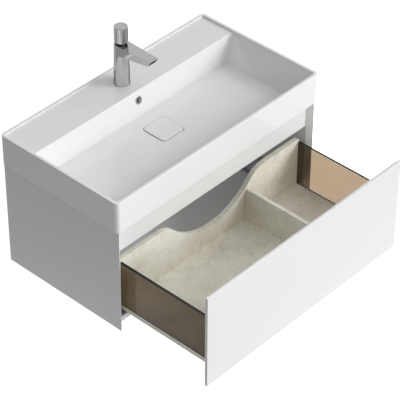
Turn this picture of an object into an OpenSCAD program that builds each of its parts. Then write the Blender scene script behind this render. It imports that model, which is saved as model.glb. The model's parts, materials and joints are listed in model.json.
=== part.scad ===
// Wall-hung washbasin vanity: ceramic basin, tap, waste and trap, lacquered case, one open drawer.
// Millimetres, +Z up, front towards -Y. The origin lies on the wall, midway between the wall screws.
// The drawer is drawn fully open.

/* [Basin] */
// Width of the washbasin
basin_w = 810; // [790:5:850]
// Depth of the washbasin from the wall
basin_d = 445; // [440:1:470]
// Height of the basin's outer wall
basin_h = 100; // [98:1:106]
// Height of the basin's rim above the wall screws
rim_above_screws = 150; // [150:1:160]
// Radius of the basin's upright outer corners
basin_corner_r = 12; // [6:1:16]
// Thickness of the rim
rim_t = 9; // [8:0.5:11]
// Depth of the tap deck, front to back
deck_d = 116; // [110:1:120]
// Drop of the tap deck below the rim, also the height of the rim's upright inner band
deck_drop = 6; // [4:0.5:14]
// Thickness of the ceramic under the tap deck
deck_t = 14; // [12:1:16]
// Thickness of the hidden ceramic walls at the back
shell_t = 10; // [8:1:11]
// Thickness of the bowl's back wall at the deck's edge
bowl_back_t = 12; // [10:1:14]
// Depth of the bowl at the foot of its walls
bowl_depth = 84; // [80:1:86]
// Fall of the bowl's floor towards the drain
drain_fall = 3; // [1:0.5:4]
// Inward run of each side wall from the upright band to its foot
side_run = 48; // [35:1:55]
// Inward run of the back wall from the deck to its foot
back_run = 13; // [10:1:20]
// Inward run of the front wall from the upright band to its foot
front_run = 25; // [15:1:30]
// Radius of the bowl's upright inner corners
bowl_corner_r = 10; // [8:1:32]
// Distance between the basin's own wall bolts
wall_bolt_span = 280; // [240:5:300]
// Radius of the holes for the basin's wall bolts
wall_bolt_r = 7; // [5:0.5:8]
// Depth of the wall bolt holes below the rim
wall_bolt_drop = 60; // [50:1:66]

/* [Overflow] */
// Depth of the overflow hole below the rim
overflow_drop = 36; // [34:1:42]
// Radius of the overflow hole
overflow_r = 10.5; // [9:0.5:12]
// Width of the lip of the overflow ring
overflow_lip = 2; // [1.5:0.5:3]
// Wall thickness of the overflow ring
overflow_ring_t = 1.2; // [0.8:0.1:1.6]
// Width of the overflow channel in the ceramic
channel_w = 28; // [20:1:32]
// Height of the overflow channel under the bowl
channel_h = 5; // [4:0.5:6]

/* [Waste] */
// Distance of the waste from the wall
waste_y = 226.5; // [222:0.5:236]
// Side of the square drain cover
cover_side = 85; // [80:1:90]
// Thickness of the drain cover
cover_t = 5; // [4:0.5:6]
// Corner radius of the drain cover
cover_corner_r = 12; // [8:1:16]
// Height of the drain cover above the floor round it
cover_proud = 2; // [1:0.5:3]
// Gap round the drain cover
cover_gap = 2; // [1.5:0.5:3]
// Travel of the drain cover when it is pressed shut
cover_travel = 6; // [4:0.5:6.5]
// Depth of the pocket under the drain cover
pocket_depth = 17; // [16.5:0.5:19]
// Thickness of the ceramic below the pocket
pocket_t = 14; // [12:1:16]
// Radius of the waste tube
waste_r = 21; // [20:0.5:22]
// Wall thickness of the waste tube
waste_wall = 2.5; // [2:0.5:3]
// Length of the waste tube below the ceramic
waste_tail = 37; // [34:1:42]
// Radius of the waste flange
waste_flange_r = 31.5; // [30:0.5:34]
// Thickness of the waste flange
waste_flange_t = 3; // [2.5:0.5:3.5]
// Radial play of the waste tube in the ceramic
waste_play = 2; // [1:0.5:3]
// Radius of the plug's stem
stem_r = 4; // [3:0.5:5]
// Height of the plug's guide in the waste tube
guide_h = 10; // [8:1:12]
// Radius of the plug's disc
plug_r = 24; // [23:0.5:25]
// Thickness of the rubber washer under the basin
waste_washer_t = 3; // [2:0.5:4]
// Height of the nut under the basin
waste_nut_h = 10; // [8:1:12]

/* [Trap] */
// Radius of the trap's pipes
pipe_r = 16; // [15:0.5:16.5]
// Wall thickness of the trap's pipes
pipe_wall = 1.5; // [1:0.5:2]
// Height of the trap outlet above the bottle's foot
outlet_rise = 88; // [82:1:96]
// Radius of the trap bottle
bottle_r = 30; // [29:0.5:32]
// Height of the trap bottle
bottle_h = 70; // [66:1:74]
// Distance from the rim down to the bottle's foot
bottle_foot = 303; // [300:1:308]
// Wall thickness of the trap's bottle and body
trap_wall = 2.5; // [2:0.5:3]
// Height of the trap body above its outlet
trap_body_rise = 22; // [21:1:26]
// Gap between the dip tube and the bottle's foot
dip_gap = 20; // [15:1:25]
// Length of the outlet pipe inside the wall
pipe_in_wall = 25; // [20:1:35]
// Radius of the wall rosette
rosette_r = 36; // [30:1:42]
// Thickness of the wall rosette
rosette_t = 6; // [4:1:8]
// Height of the trap's round nuts
trap_nut_h = 18; // [16:1:20]
// Thickness of the trap's round nuts
trap_nut_t = 4; // [3:0.5:5]

/* [Tap] */
// Distance of the tap's axis from the wall
tap_y = 66; // [62:1:70]
// Radius of the tap's column at its top
column_r = 20.5; // [20:0.25:22]
// Radius of the tap's foot
foot_r = 23; // [22:0.25:26]
// Height of the spout's top face above the deck
spout_top = 134; // [128:1:150]
// Reach of the spout from the tap's axis
spout_reach = 126; // [116:1:136]
// Height of the spout at its tip
spout_tip_h = 16.5; // [15:0.5:18]
// Run of the slanted face at the spout's tip
tip_slant = 9; // [6:0.5:11]
// Height of the spout where it leaves the column
spout_root_h = 30; // [27:1:34]
// Width of the spout at its tip
spout_tip_w = 32; // [28:1:36]
// Radius of the aerator
aerator_r = 6.5; // [5:0.5:6.5]
// Depth of the aerator in the spout's tip
aerator_depth = 3.5; // [3:0.25:3.5]
// Radius of the waterway in the spout
waterway_r = 4; // [3:0.5:4.5]
// Radius of the knob
knob_r = 19.5; // [17.5:0.5:20]
// Height of the knob
knob_h = 48; // [44:1:54]
// Height of the dark gap below the knob
neck_gap = 8; // [7.5:0.5:10]
// Wall thickness of the knob's skirt
knob_wall = 1.8; // [1.5:0.1:2.2]
// Depth of the hollow in the knob's underside
knob_hollow = 24; // [22:1:28]
// Travel of the knob when it is pressed
knob_travel = 5; // [3:0.5:6]
// Radius of the hot and cold dots
dot_r = 1.6; // [1:0.2:2]
// Distance of the dots from the knob's axis
dot_ring_r = 12.1; // [10:0.1:14]
// Angle of each dot from the front
dot_angle = 54; // [30:1:70]
// Radius of the spindle inside the knob
spindle_r = 5; // [4:0.5:6]
// Radius of the cartridge
cartridge_r = 14; // [12:0.5:15]
// Radius of the threaded shank below the tap
shank_r = 16.5; // [16:0.5:16.5]
// Radius of the tap hole in the deck
tap_hole_r = 17.5; // [17:0.5:18]
// Length of the shank below the deck's underside
shank_l = 36; // [34:1:42]
// Radius of each hose inlet
inlet_r = 4.5; // [4:0.25:5]
// Depth of each hose inlet
inlet_depth = 14; // [10:1:16]
// Distance between the hose inlets
inlet_span = 17; // [14:0.5:19]
// Radius of the shank's washers
shank_washer_r = 25; // [23:0.5:26]

/* [Case] */
// Overhang of the basin past each side of the case
side_overhang = 8; // [4:1:12]
// Distance of the case's front edges behind the basin's front
front_setback = 4; // [2:1:8]
// Height of the case
case_h = 350; // [345:1:370]
// Thickness of the case's boards
board_t = 16; // [15:0.5:18]
// Width of the blunt tip of the mitred side panels
tip_flat = 1.5; // [1:0.25:2.5]
// Distance of the fixed front rail behind the side panels' tips
rail_setback = 16; // [15:0.5:18]
// Height of the fixed front rail
rail_h = 83; // [75:1:86]
// Height of the rear rail
rear_rail_h = 80; // [76:1:90]
// Height of the lower rear rail
lower_rail_h = 70; // [60:1:80]
// Distance of the rear rails from the wall
rail_wall_gap = 20; // [16:1:22]
// Height of the bottom panel above the side panels' lower edges
bottom_lift = 14; // [10:1:18]
// Radius of the dowels in the case
dowel_r = 4; // [3:0.5:5]
// Length of a dowel in the side panel
dowel_in_side = 11; // [8:1:12]
// Length of a dowel in the board that meets the side panel
dowel_in_board = 19; // [14:1:22]

/* [Hangers] */
// Distance of each wall screw from the side panel's inner face
screw_inset = 28; // [26:1:32]
// Radius of the wall screw holes
wall_screw_r = 4; // [3:0.5:5]
// Width of the wall plates
plate_w = 40; // [36:1:44]
// Height of the wall plates below the hook's lip
plate_h = 62; // [58:1:70]
// Thickness of the wall plates
plate_t = 2.5; // [2:0.5:3]
// Height of the hook's lip above the wall screws
lip_above_screws = 32; // [28:1:34]
// Height of the lip itself
lip_h = 15; // [12:1:16]
// Width of the hooks
hook_w = 10; // [8:1:14]
// Thickness of the hooks
hook_t = 3; // [2.5:0.5:3.5]
// Width of the hanger housings
hanger_w = 36; // [34:1:40]
// Depth of the hanger housings
hanger_d = 39; // [30:1:45]
// Height of the hanger housings
hanger_h = 60; // [50:1:66]

/* [Drawer] */
// Free height between the basin and the drawer front
grip_gap = 42; // [36:1:48]
// Thickness of the drawer front
front_t = 19; // [17:0.5:21]
// Flat part of the drawer front's edges
front_edge = 7.5; // [5:0.5:9]
// How far the closed drawer front stands before the side panels' tips
front_proud = 11; // [11:0.5:14]
// Travel of the drawer
drawer_travel = 307; // [280:1:310]
// Length of the drawer behind its front
drawer_l = 341; // [325:1:341]
// Thickness of the drawer's base and back
drawer_t = 16; // [15:0.5:18]
// Gap between each drawer side and the case
side_gap = 13; // [12.5:0.5:16]
// Height of the space for the runners
runner_space = 16; // [15.5:0.5:19]
// Thickness of the glass sides
glass_t = 5; // [4:0.5:8]
// Height of the glass sides above the base
glass_h = 151; // [140:1:155]
// Thickness of the black seal under the glass
glass_seal_t = 1.5; // [1:0.5:2]
// Depth of the grooves for the glass in the drawer front
groove_depth = 4; // [3:0.5:5]
// Wall thickness of the black strip on the glass
strip_t = 0.8; // [0.6:0.1:1.2]
// Height of the black strip's lip on the glass's outer face
strip_cover = 3; // [2:0.5:8]
// Height of the drawer's back above the base
back_h = 160; // [158:1:166]
// Radius of the round dip in the drawer's back
wave_r = 205; // [202:1:210]
// Height of the dip's centre above the drawer's back
wave_rise = 106; // [104:1:110]
// Radius of the dip's shoulders
shoulder_r = 86; // [70:1:90]
// Radius of the back's upper corners
back_corner_r = 6; // [4:0.5:10]
// Thickness of the divider
divider_t = 12; // [10:0.5:14]
// Distance of the divider from the middle of the drawer
divider_x = 143.5; // [120:0.5:180]
// Height of the divider above the base
divider_h = 108; // [90:1:130]
// Radius of the drawer's dowels
drawer_dowel_r = 3; // [2:0.5:4]

/* [Runners] */
// Sheet thickness of the runners
steel_t = 1.5; // [1.2:0.1:1.8]
// Length of the runner members on the case
runner_l = 350; // [345:1:360]
// Length of the middle members
middle_l = 340; // [335:1:345]
// Length of the runner members on the drawer
slider_l = 335; // [300:1:338]
// Distance from the front rail's face to the runner's front end
runner_front_gap = 5; // [3:1:10]
// Width of the runner member on the case
runner_w = 52; // [51:1:56]
// Height of the runner's leg on the side panel
leg_h = 40; // [36:1:44]
// Radius of the small screws
screw_r = 1.9; // [1.5:0.1:2.2]
// Length of the small screws in the wood
screw_l = 12; // [9:1:13]
// Radius of the small screws' heads
screw_head_r = 4; // [3.5:0.5:4.5]
// Height of the small screws' heads
screw_head_h = 1.5; // [1:0.1:2]

/* [Clearances] */
// Radial play of dowels, screws and other tight round fits
tight_play = 0.05; // [0.02:0.01:0.1]
// Play of parts that are set into grooves and notches
loose_play = 0.3; // [0.2:0.1:0.5]
// Play between moving members
running_gap = 0.4; // [0.3:0.1:0.6]

/* [Hidden] */
$fn = 96;
// Overlap that lets a cut run clean through a face
eps = 0.5;

// Basin levels and lines
z_rim = rim_above_screws;
z_deck = z_rim - deck_drop;
z_deck_under = z_deck - deck_t;
z_skirt = z_rim - basin_h;
z_foot = z_rim - bowl_depth;
z_floor = z_foot - drain_fall;
z_pocket = z_floor - pocket_depth;
z_boss = z_pocket - pocket_t;
y_bowl_back = -(rim_t + deck_d);
y_bowl_front = -(basin_d - rim_t);
y_back_shell = y_bowl_back + bowl_back_t;
wall_h = bowl_depth - deck_drop;
back_lean = atan(back_run / wall_h);
sheet = 0.2;

// Drain cover, plug and waste
y_waste = -waste_y;
cover_top = z_floor + cover_proud;
cover_under = cover_top - cover_t;
plug_seal_t = 2;
plug_seal_w = 2;
waste_top = z_pocket + waste_flange_t;
seat_gap = 0.5;
plug_t = cover_under - waste_top - cover_travel - seat_gap - plug_seal_t;
waste_bottom = z_boss - waste_tail;
waste_hole_r = waste_r + waste_play;
boss_margin = 10;
channel_skin = 3;
z_channel = z_boss + (pocket_t - channel_h) / 2;
guide_top = z_boss - 5;
stem_l = plug_t + (cover_under - guide_top) + guide_h;
waste_washer_r = waste_r + 11;
waste_nut_r = waste_r + 9;

// Trap
z_bottle = z_rim - bottle_foot;
z_bottle_top = z_bottle + bottle_h;
z_outlet = z_bottle + outlet_rise;
z_trap_top = z_outlet + trap_body_rise;
union_nut_r = waste_r + trap_nut_t;
inlet_nut_r = pipe_r + trap_nut_t;
outlet_stub_l = 16;
y_outlet_stub = y_waste + bottle_r + outlet_stub_l;
flange_t = 2;
collar_h = 14;
collar_t = 3;

// Tap
y_tap = -tap_y;
seal_t = 1;
z_tap_foot = z_deck + seal_t;
z_spout = z_deck + spout_top;
z_knob = z_spout + neck_gap;
z_knob_top = z_knob + knob_h;
neck_ring_h = neck_gap - knob_travel;
neck_r = knob_r - knob_wall - 1;
z_cartridge = z_spout - 28;
cartridge_top = z_knob + knob_hollow - knob_travel - 5;
spindle_foot = z_spout + 2;
spindle_top = z_knob + knob_hollow + 10;
socket_top = spindle_top + knob_travel + 1;
y_tip = y_tap - spout_reach;
tip_edge = 1.5;
tip_lean = atan(tip_slant / (spout_tip_h - tip_edge));
y_aerator = y_tip + tip_slant / 2;
z_aerator = z_spout - (spout_tip_h + tip_edge) / 2;
aerator_rim = 1.5;
aerator_recess = 1;
waterway_back = 7;
z_waterway = z_spout - 6.5;
bore_r = cartridge_r - 3;
shank_bottom = z_deck_under - shank_l;
shank_play = 0.5;
shank_seal_t = 3;
shank_washer_t = 3;
shank_nut_h = 9;
shank_nut_r = 23;
dot_t = 0.6;

// Case
case_hw = basin_w / 2 - side_overhang;
inner_hw = case_hw - board_t;
case_d = basin_d - front_setback;
z_case_bottom = z_skirt - case_h;
z_panel = z_case_bottom + bottom_lift;
z_bay = z_panel + board_t;
y_rail = -(case_d - rail_setback);
y_rail_mid = y_rail + board_t / 2;
y_rear_mid = -(rail_wall_gap + board_t / 2);
mitre = board_t - tip_flat;

// Hangers
screw_x = inner_hw - screw_inset;
z_lip = lip_above_screws;
lip_gap = 2.5;
y_hanger = -(rail_wall_gap + board_t);
hanger_drop = 10;
z_hanger = z_skirt - hanger_drop;
hanger_wall = 8;
hanger_recess_r = 4;
hanger_recess_in = 6;
hook_free = 0.5;
hook_nose = lip_h - 4;

// Drawer, drawn open
front_hw = case_hw;
z_front_top = z_skirt - grip_gap;
z_front_bottom = z_case_bottom;
y_front = -(case_d + front_proud + drawer_travel);
y_front_back = y_front + front_t;
y_drawer_end = y_front_back + drawer_l;
y_back_inner = y_drawer_end - drawer_t;
base_hw = inner_hw - side_gap;
z_base = z_bay + runner_space;
z_base_top = z_base + drawer_t;
z_glass = z_base_top + glass_seal_t;
z_glass_top = z_base_top + glass_h;
z_back_top = z_base_top + back_h;
z_wave = z_back_top + wave_rise;
arc_lap = 0.02;
bevel = front_t - front_edge;

// Runners
z_runner = z_bay + running_gap;
y_runner_front = y_rail + runner_front_gap;
slider_front_gap = 2;
middle_front_gap = 5;
channel_gap = 1;
slider_edge = 13.5;
y_slider_front = y_front_back + slider_front_gap;
y_middle_front = y_runner_front + middle_front_gap - drawer_travel / 2;
x_lip = inner_hw - runner_w;
lip_up = 8;
slider_in = x_lip + steel_t + channel_gap;
slider_out = base_hw - slider_edge;
middle_in = slider_in + steel_t + running_gap;
middle_out = slider_out - steel_t - running_gap;
middle_z = z_runner + steel_t + running_gap;
middle_wall = 1.2;
slider_foot_z = middle_z + channel_gap;
middle_h = z_base - steel_t - running_gap - middle_z;
clip_l = 45;
clip_w = 30;
clip_h = 11;
clip_gap = 1;
clip_tongue = 5;
damper_l = 80;
damper_h = 12;
damper_lift = 4;
damper_w = 10;
damper_end_gap = 10;
damper_rod_r = 2.5;
damper_rod_l = 20;
bracket_leg = 30;
bracket_w = 40;
bracket_x = 220;

// Screws in the runners' legs, one in the middle and one this far to each side
runner_screw_span = 145;
runner_screw_up = 27;
runner_screw_ys = [for (s = [-1, 0, 1]) y_runner_front + runner_l / 2 + s * runner_screw_span];
z_runner_screw = z_bay + runner_screw_up;

// Dowels of the case: [y, z] where each one crosses the side panel's inner face
case_dowel_spots = [
    [y_rail_mid, z_skirt - 20], [y_rail_mid, z_skirt - rail_h + 20],
    [y_rear_mid, z_skirt - rear_rail_h + 35], [y_rear_mid, z_skirt - rear_rail_h + 12],
    [y_rear_mid, z_bay + 16], [y_rear_mid, z_bay + lower_rail_h - 16],
    [y_rail + 60, z_panel + board_t / 2], [-case_d / 2, z_panel + board_t / 2],
    [y_rear_mid - 50, z_panel + board_t / 2]];

// Dowels of the drawer: [x, y] where each one crosses the base's top
drawer_dowel_x = 110;
drawer_dowel_end = 28;
divider_dowel_end = 40;
drawer_dowel_spots = [for (side = [-1, 1]) for (x = [drawer_dowel_x, base_hw - drawer_dowel_end])
    [side * x, y_drawer_end - drawer_t / 2]];
divider_dowel_spots = [for (y = [y_front_back + divider_dowel_end, y_back_inner - divider_dowel_end])
    [divider_x, y]];
drawer_dowel_down = 10;
drawer_dowel_up = 14;

// Distance of the bracket screws from the bracket's corner
bracket_screw_in = 20;

// Block between two corners
module block(lo, hi) {
    translate(lo) cube([hi[0] - lo[0], hi[1] - lo[1], hi[2] - lo[2]]);
}

// Flat outline of a rectangle with round corners, centred
module round_rect(w, d, r) {
    square([w - 2 * r, d], center = true);
    square([w, d - 2 * r], center = true);
    for (sx = [-1, 1])
        for (sy = [-1, 1])
            translate([sx * (w / 2 - r), sy * (d / 2 - r)]) circle(r);
}

// Upright block with round corners between two corners
module round_block(lo, hi, r) {
    translate([(lo[0] + hi[0]) / 2, (lo[1] + hi[1]) / 2, lo[2]])
        linear_extrude(hi[2] - lo[2]) round_rect(hi[0] - lo[0], hi[1] - lo[1], r);
}

// Tube or disc standing at a point
module ring(at, r_out, r_in, h) {
    translate(at) difference() {
        cylinder(r = r_out, h = h);
        translate([0, 0, -eps]) cylinder(r = r_in, h = h + 2 * eps);
    }
}

// Outline in the X-Z plane, extruded from y0 towards +Y
module along_y(y0, l) {
    translate([0, y0 + l, 0]) rotate([90, 0, 0]) linear_extrude(l) children();
}

// Outline in the Y-Z plane, extruded from x0 towards +X
module along_x(x0, l) {
    translate([x0, 0, 0]) rotate([90, 0, 90]) linear_extrude(l) children();
}

// A child on the left side (-1) or the right side (1), drawn for the right side
module on_side(side) {
    mirror([side < 0 ? 1 : 0, 0, 0]) children();
}

// ---------------------------------------------------------------- basin

// Open space of the bowl, from the rim down to the drain
module bowl_space() {
    $fn = 32;
    hw = basin_w / 2 - rim_t;
    hull() {
        round_block([-hw, y_bowl_front, z_deck], [hw, y_bowl_back, z_rim + eps], bowl_corner_r);
        round_block([-hw + side_run, y_bowl_front + front_run, z_foot],
            [hw - side_run, y_bowl_back - back_run, z_foot + sheet], bowl_corner_r - 6);
        translate([0, y_waste, z_floor]) cylinder(r = cover_side / 2, h = sheet);
    }
}

// Open space over the tap deck
module deck_space() {
    hw = basin_w / 2 - rim_t;
    block([-hw, y_bowl_back - bowl_corner_r, z_deck], [hw, -rim_t, z_rim + eps]);
}

// Place on the bowl's back wall where the overflow leaves, with +Z square into the wall
module at_overflow() {
    translate([0, y_bowl_back - back_run * (overflow_drop - deck_drop) / wall_h, z_rim - overflow_drop])
        rotate([-90 - back_lean, 0, 0]) children();
}

// Hole in the back wall, the duct behind it and the duct under the bowl to the waste
module overflow_channel() {
    hw = channel_w / 2;
    y1 = y_back_shell - channel_skin;
    at_overflow() translate([0, 0, -2 * eps]) cylinder(r = overflow_r, h = bowl_back_t + 2);
    block([-hw, y1 - channel_h - 1, z_channel], [hw, y1, z_rim - overflow_drop]);
    block([-hw, y_waste + waste_r, z_channel], [hw, y1, z_channel + channel_h]);
}

module washbasin() {
    hw = basin_w / 2;
    pocket = cover_side / 2 + cover_gap;
    boss = pocket + boss_margin;
    rib = channel_w / 2 + shell_t;
    color("whitesmoke") difference() {
        union() {
            difference() {
                round_block([-hw, -basin_d, z_skirt], [hw, 0, z_rim], basin_corner_r);
                block([-hw + shell_t, y_back_shell, z_skirt - eps],
                    [hw - shell_t, -shell_t, z_deck_under]);
            }
            block([-rib, y_waste, z_boss], [rib, y_back_shell + shell_t, z_deck_under + eps]);
            round_block([-boss, y_waste - boss, z_boss], [boss, y_waste + boss, z_skirt + eps], 20);
        }
        bowl_space();
        deck_space();
        round_block([-pocket, y_waste - pocket, z_pocket],
            [pocket, y_waste + pocket, z_rim], cover_corner_r + cover_gap);
        translate([0, y_waste, z_boss - eps]) cylinder(r = waste_hole_r, h = pocket_t + 2 * eps);
        translate([0, y_tap, z_deck_under - eps]) cylinder(r = tap_hole_r, h = deck_t + 2 * eps);
        overflow_channel();
        for (side = [-1, 1])
            translate([side * wall_bolt_span / 2, eps, z_rim - wall_bolt_drop]) rotate([90, 0, 0])
                cylinder(r = wall_bolt_r, h = shell_t + 2 * eps);
    }
}

// Chrome ring that lines the overflow hole
module overflow_ring() {
    r_in = overflow_r - tight_play - overflow_ring_t;
    r_lip = overflow_r + overflow_lip;
    sleeve = 8;
    color("silver") at_overflow() rotate_extrude()
        polygon([[r_in, -overflow_ring_t], [r_lip - 0.5, -overflow_ring_t], [r_lip, 0],
            [overflow_r - tight_play, 0], [overflow_r - tight_play, sleeve], [r_in, sleeve]]);
}

// ---------------------------------------------------------------- waste

module drain_cover() {
    s = cover_side / 2;
    color("whitesmoke")
        round_block([-s, y_waste - s, cover_under], [s, y_waste + s, cover_top], cover_corner_r);
}

// Disc and stem below the drain cover
module plug_stem() {
    color("silver") translate([0, y_waste, cover_under - plug_t]) {
        cylinder(r = plug_r, h = plug_t);
        translate([0, 0, plug_t - stem_l]) cylinder(r = stem_r, h = stem_l - plug_t);
    }
}

module plug_seal() {
    color("dimgray")
        ring([0, y_waste, cover_under - plug_t - plug_seal_t], plug_r, plug_r - plug_seal_w, plug_seal_t);
}

// Flange, threaded tube with overflow slots and the guide of the plug's stem
module waste_flange() {
    r_in = waste_r - waste_wall;
    color("silver") difference() {
        union() {
            translate([0, y_waste, 0]) rotate_extrude()
                polygon([[r_in, waste_bottom], [waste_r, waste_bottom], [waste_r, z_pocket],
                    [waste_flange_r, z_pocket], [waste_flange_r, waste_top], [r_in, waste_top]]);
            translate([0, y_waste, guide_top - guide_h]) linear_extrude(guide_h) difference() {
                union() {
                    circle(stem_r + 3);
                    for (turn = [0, 90])
                        rotate(turn) square([2 * waste_r - waste_wall, 2], center = true);
                }
                circle(stem_r + tight_play);
            }
        }
        block([-channel_w / 4, y_waste - waste_r - eps, z_channel],
            [channel_w / 4, y_waste + waste_r + eps, z_channel + channel_h]);
    }
}

module waste_washer() {
    color("dimgray")
        ring([0, y_waste, z_boss - waste_washer_t], waste_washer_r, waste_r + tight_play, waste_washer_t);
}

module waste_nut() {
    z0 = z_boss - waste_washer_t - waste_nut_h;
    color("gold") difference() {
        translate([0, y_waste, z0]) cylinder(r = waste_nut_r, h = waste_nut_h, $fn = 6);
        translate([0, y_waste, z0 - eps]) cylinder(r = waste_r + tight_play, h = waste_nut_h + 2 * eps);
    }
}

// ---------------------------------------------------------------- trap

// Cap nut: a shell that closes over a larger pipe and round a smaller one
module cap_nut(r_nut, r_large, r_small, h, cap) {
    difference() {
        cylinder(r = r_nut, h = h);
        translate([0, 0, cap]) cylinder(r = r_large, h = h);
        translate([0, 0, -eps]) cylinder(r = r_small, h = h);
    }
}

module trap_union_nut() {
    color("silver") translate([0, y_waste, waste_bottom - flange_t - trap_nut_t])
        cap_nut(union_nut_r, waste_r + tight_play, pipe_r + tight_play, trap_nut_h, trap_nut_t);
}

// Upright tube from the waste down into the bottle
module dip_tube() {
    z0 = z_bottle + dip_gap;
    color("silver") {
        ring([0, y_waste, z0], pipe_r, pipe_r - pipe_wall, waste_bottom - z0);
        ring([0, y_waste, waste_bottom - flange_t], waste_r, pipe_r - pipe_wall, flange_t);
    }
}

module trap_inlet_nut() {
    color("silver") ring([0, y_waste, z_trap_top], inlet_nut_r, pipe_r + tight_play, trap_nut_h - 2);
}

// Upper half of the trap with the side outlet
module trap_body() {
    r = bottle_r - collar_t - tight_play;
    color("silver") difference() {
        union() {
            translate([0, y_waste, z_bottle_top - collar_h]) cylinder(r = r, h = collar_h + 1);
            translate([0, y_waste, z_bottle_top]) cylinder(r = bottle_r, h = z_trap_top - z_bottle_top);
            translate([0, y_waste, z_outlet]) rotate([-90, 0, 0])
                cylinder(r = pipe_r + trap_wall, h = bottle_r + outlet_stub_l);
        }
        translate([0, y_waste, z_bottle_top - collar_h - eps])
            cylinder(r = r - trap_wall, h = z_trap_top - trap_wall - z_bottle_top + collar_h + eps);
        translate([0, y_waste, z_outlet]) rotate([-90, 0, 0])
            cylinder(r = pipe_r + tight_play, h = bottle_r + outlet_stub_l + eps);
        translate([0, y_waste, z_trap_top - trap_wall - eps])
            cylinder(r = pipe_r + tight_play, h = trap_wall + 2 * eps);
    }
}

module trap_bottle() {
    color("silver") difference() {
        translate([0, y_waste, z_bottle]) cylinder(r = bottle_r, h = bottle_h);
        translate([0, y_waste, z_bottle + trap_wall]) cylinder(r = bottle_r - collar_t, h = bottle_h);
    }
}

module outlet_nut() {
    r_in = pipe_r + trap_wall + tight_play;
    color("silver") translate([0, y_outlet_stub + trap_nut_t, z_outlet]) rotate([90, 0, 0])
        cap_nut(r_in + trap_nut_t, r_in, pipe_r + tight_play, trap_nut_h - trap_nut_t, trap_nut_t);
}

// Horizontal pipe from the trap into the wall, with a ring mark at the wall's face
module outlet_pipe() {
    y0 = y_waste + bottle_r + 2;
    mark = 0.5;
    color("silver") translate([0, 0, z_outlet]) rotate([-90, 0, 0]) rotate_extrude()
        polygon([[pipe_r - pipe_wall, y0], [pipe_r, y0], [pipe_r, -2 * mark], [pipe_r - mark, -mark],
            [pipe_r, 0], [pipe_r, pipe_in_wall], [pipe_r - pipe_wall, pipe_in_wall]]);
}

module wall_rosette() {
    color("silver") translate([0, -rosette_t, z_outlet]) rotate([-90, 0, 0]) rotate_extrude()
        polygon([[pipe_r + tight_play, 0], [pipe_r + 6, 0], [rosette_r, rosette_t - 1],
            [rosette_r, rosette_t], [pipe_r + tight_play, rosette_t]]);
}

// ---------------------------------------------------------------- tap

// Places a round piece on the slanted tip face, +Z into the spout
module at_aerator() {
    translate([0, y_aerator, z_aerator]) rotate([tip_lean - 90, 0, 0]) children();
}

// Column and spout, bored for the cartridge and the water
module tap_body() {
    tip = spout_tip_w / 2;
    color("silver") difference() {
        union() {
            translate([0, y_tap, z_tap_foot])
                cylinder(r1 = foot_r, r2 = column_r, h = z_spout - z_tap_foot);
            intersection() {
                translate([0, 0, z_spout - spout_root_h - 10]) linear_extrude(spout_root_h + 10)
                    polygon([[-column_r, y_tap], [-tip, y_tip], [tip, y_tip], [column_r, y_tap]]);
                along_x(-foot_r, 2 * foot_r)
                    polygon([[y_tap, z_spout], [y_tap, z_spout - spout_root_h - 4],
                        [y_tap - column_r, z_spout - spout_root_h],
                        [y_tip + tip_slant, z_spout - spout_tip_h],
                        [y_tip, z_spout - tip_edge], [y_tip, z_spout]]);
            }
        }
        translate([0, y_tap, z_cartridge])
            cylinder(r = cartridge_r + tight_play, h = z_spout - z_cartridge + eps);
        translate([0, y_tap, z_tap_foot - eps])
            cylinder(r = bore_r, h = z_cartridge - z_tap_foot + 2 * eps);
        translate([0, y_tap, z_waterway]) rotate([90, 0, 0])
            cylinder(r = waterway_r, h = spout_reach - waterway_back);
        at_aerator() translate([0, 0, -eps]) cylinder(r = aerator_r, h = aerator_depth + eps);
    }
}

module tap_base_seal() {
    color("dimgray") ring([0, y_tap, z_deck], foot_r - 0.5, shank_r + 0.5, seal_t);
}

// Mixing cartridge, bored for the spindle
module cartridge() {
    color("dimgray") difference() {
        translate([0, y_tap, z_cartridge]) cylinder(r = cartridge_r, h = cartridge_top - z_cartridge);
        translate([0, y_tap, spindle_foot])
            cylinder(r = spindle_r + tight_play, h = cartridge_top - spindle_foot + eps);
        translate([0, y_tap, z_waterway]) rotate([90, 0, 0])
            cylinder(r = waterway_r, h = cartridge_r + eps);
        translate([0, y_tap, z_cartridge - eps])
            cylinder(r = waterway_r, h = z_waterway - z_cartridge + eps);
    }
}

module neck_ring() {
    color("dimgray") ring([0, y_tap, z_spout], neck_r, cartridge_r + tight_play, neck_ring_h - running_gap);
}

module knob_spindle() {
    color("silver") translate([0, y_tap, spindle_foot])
        cylinder(r = spindle_r, h = spindle_top - spindle_foot);
}

// Place of a dot on the knob's top
module at_dot(side) {
    translate([side * dot_ring_r * sin(dot_angle), y_tap - dot_ring_r * cos(dot_angle), z_knob_top - dot_t])
        children();
}

module tap_knob() {
    edge = 1;
    color("silver") difference() {
        translate([0, y_tap, z_knob]) rotate_extrude()
            polygon([[0, 0], [knob_r, 0], [knob_r, knob_h - edge], [knob_r - edge, knob_h], [0, knob_h]]);
        translate([0, y_tap, z_knob - eps]) cylinder(r = knob_r - knob_wall, h = knob_hollow + eps);
        translate([0, y_tap, z_knob]) cylinder(r = spindle_r + tight_play, h = socket_top - z_knob);
        for (side = [-1, 1])
            at_dot(side) cylinder(r = dot_r + tight_play, h = dot_t + eps);
    }
}

module hot_dot() {
    color("red") at_dot(-1) cylinder(r = dot_r, h = dot_t);
}

module cold_dot() {
    color("blue") at_dot(1) cylinder(r = dot_r, h = dot_t);
}

// Flow straightener in the spout's tip
module aerator() {
    color("silver") at_aerator() difference() {
        cylinder(r = aerator_r - tight_play, h = aerator_depth);
        translate([0, 0, -eps]) cylinder(r = aerator_r - aerator_rim, h = aerator_recess + eps);
        for (turn = [0:60:300])
            rotate([0, 0, turn]) translate([aerator_r / 2, 0, 0]) cylinder(r = 1, h = aerator_depth + eps);
    }
}

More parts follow.
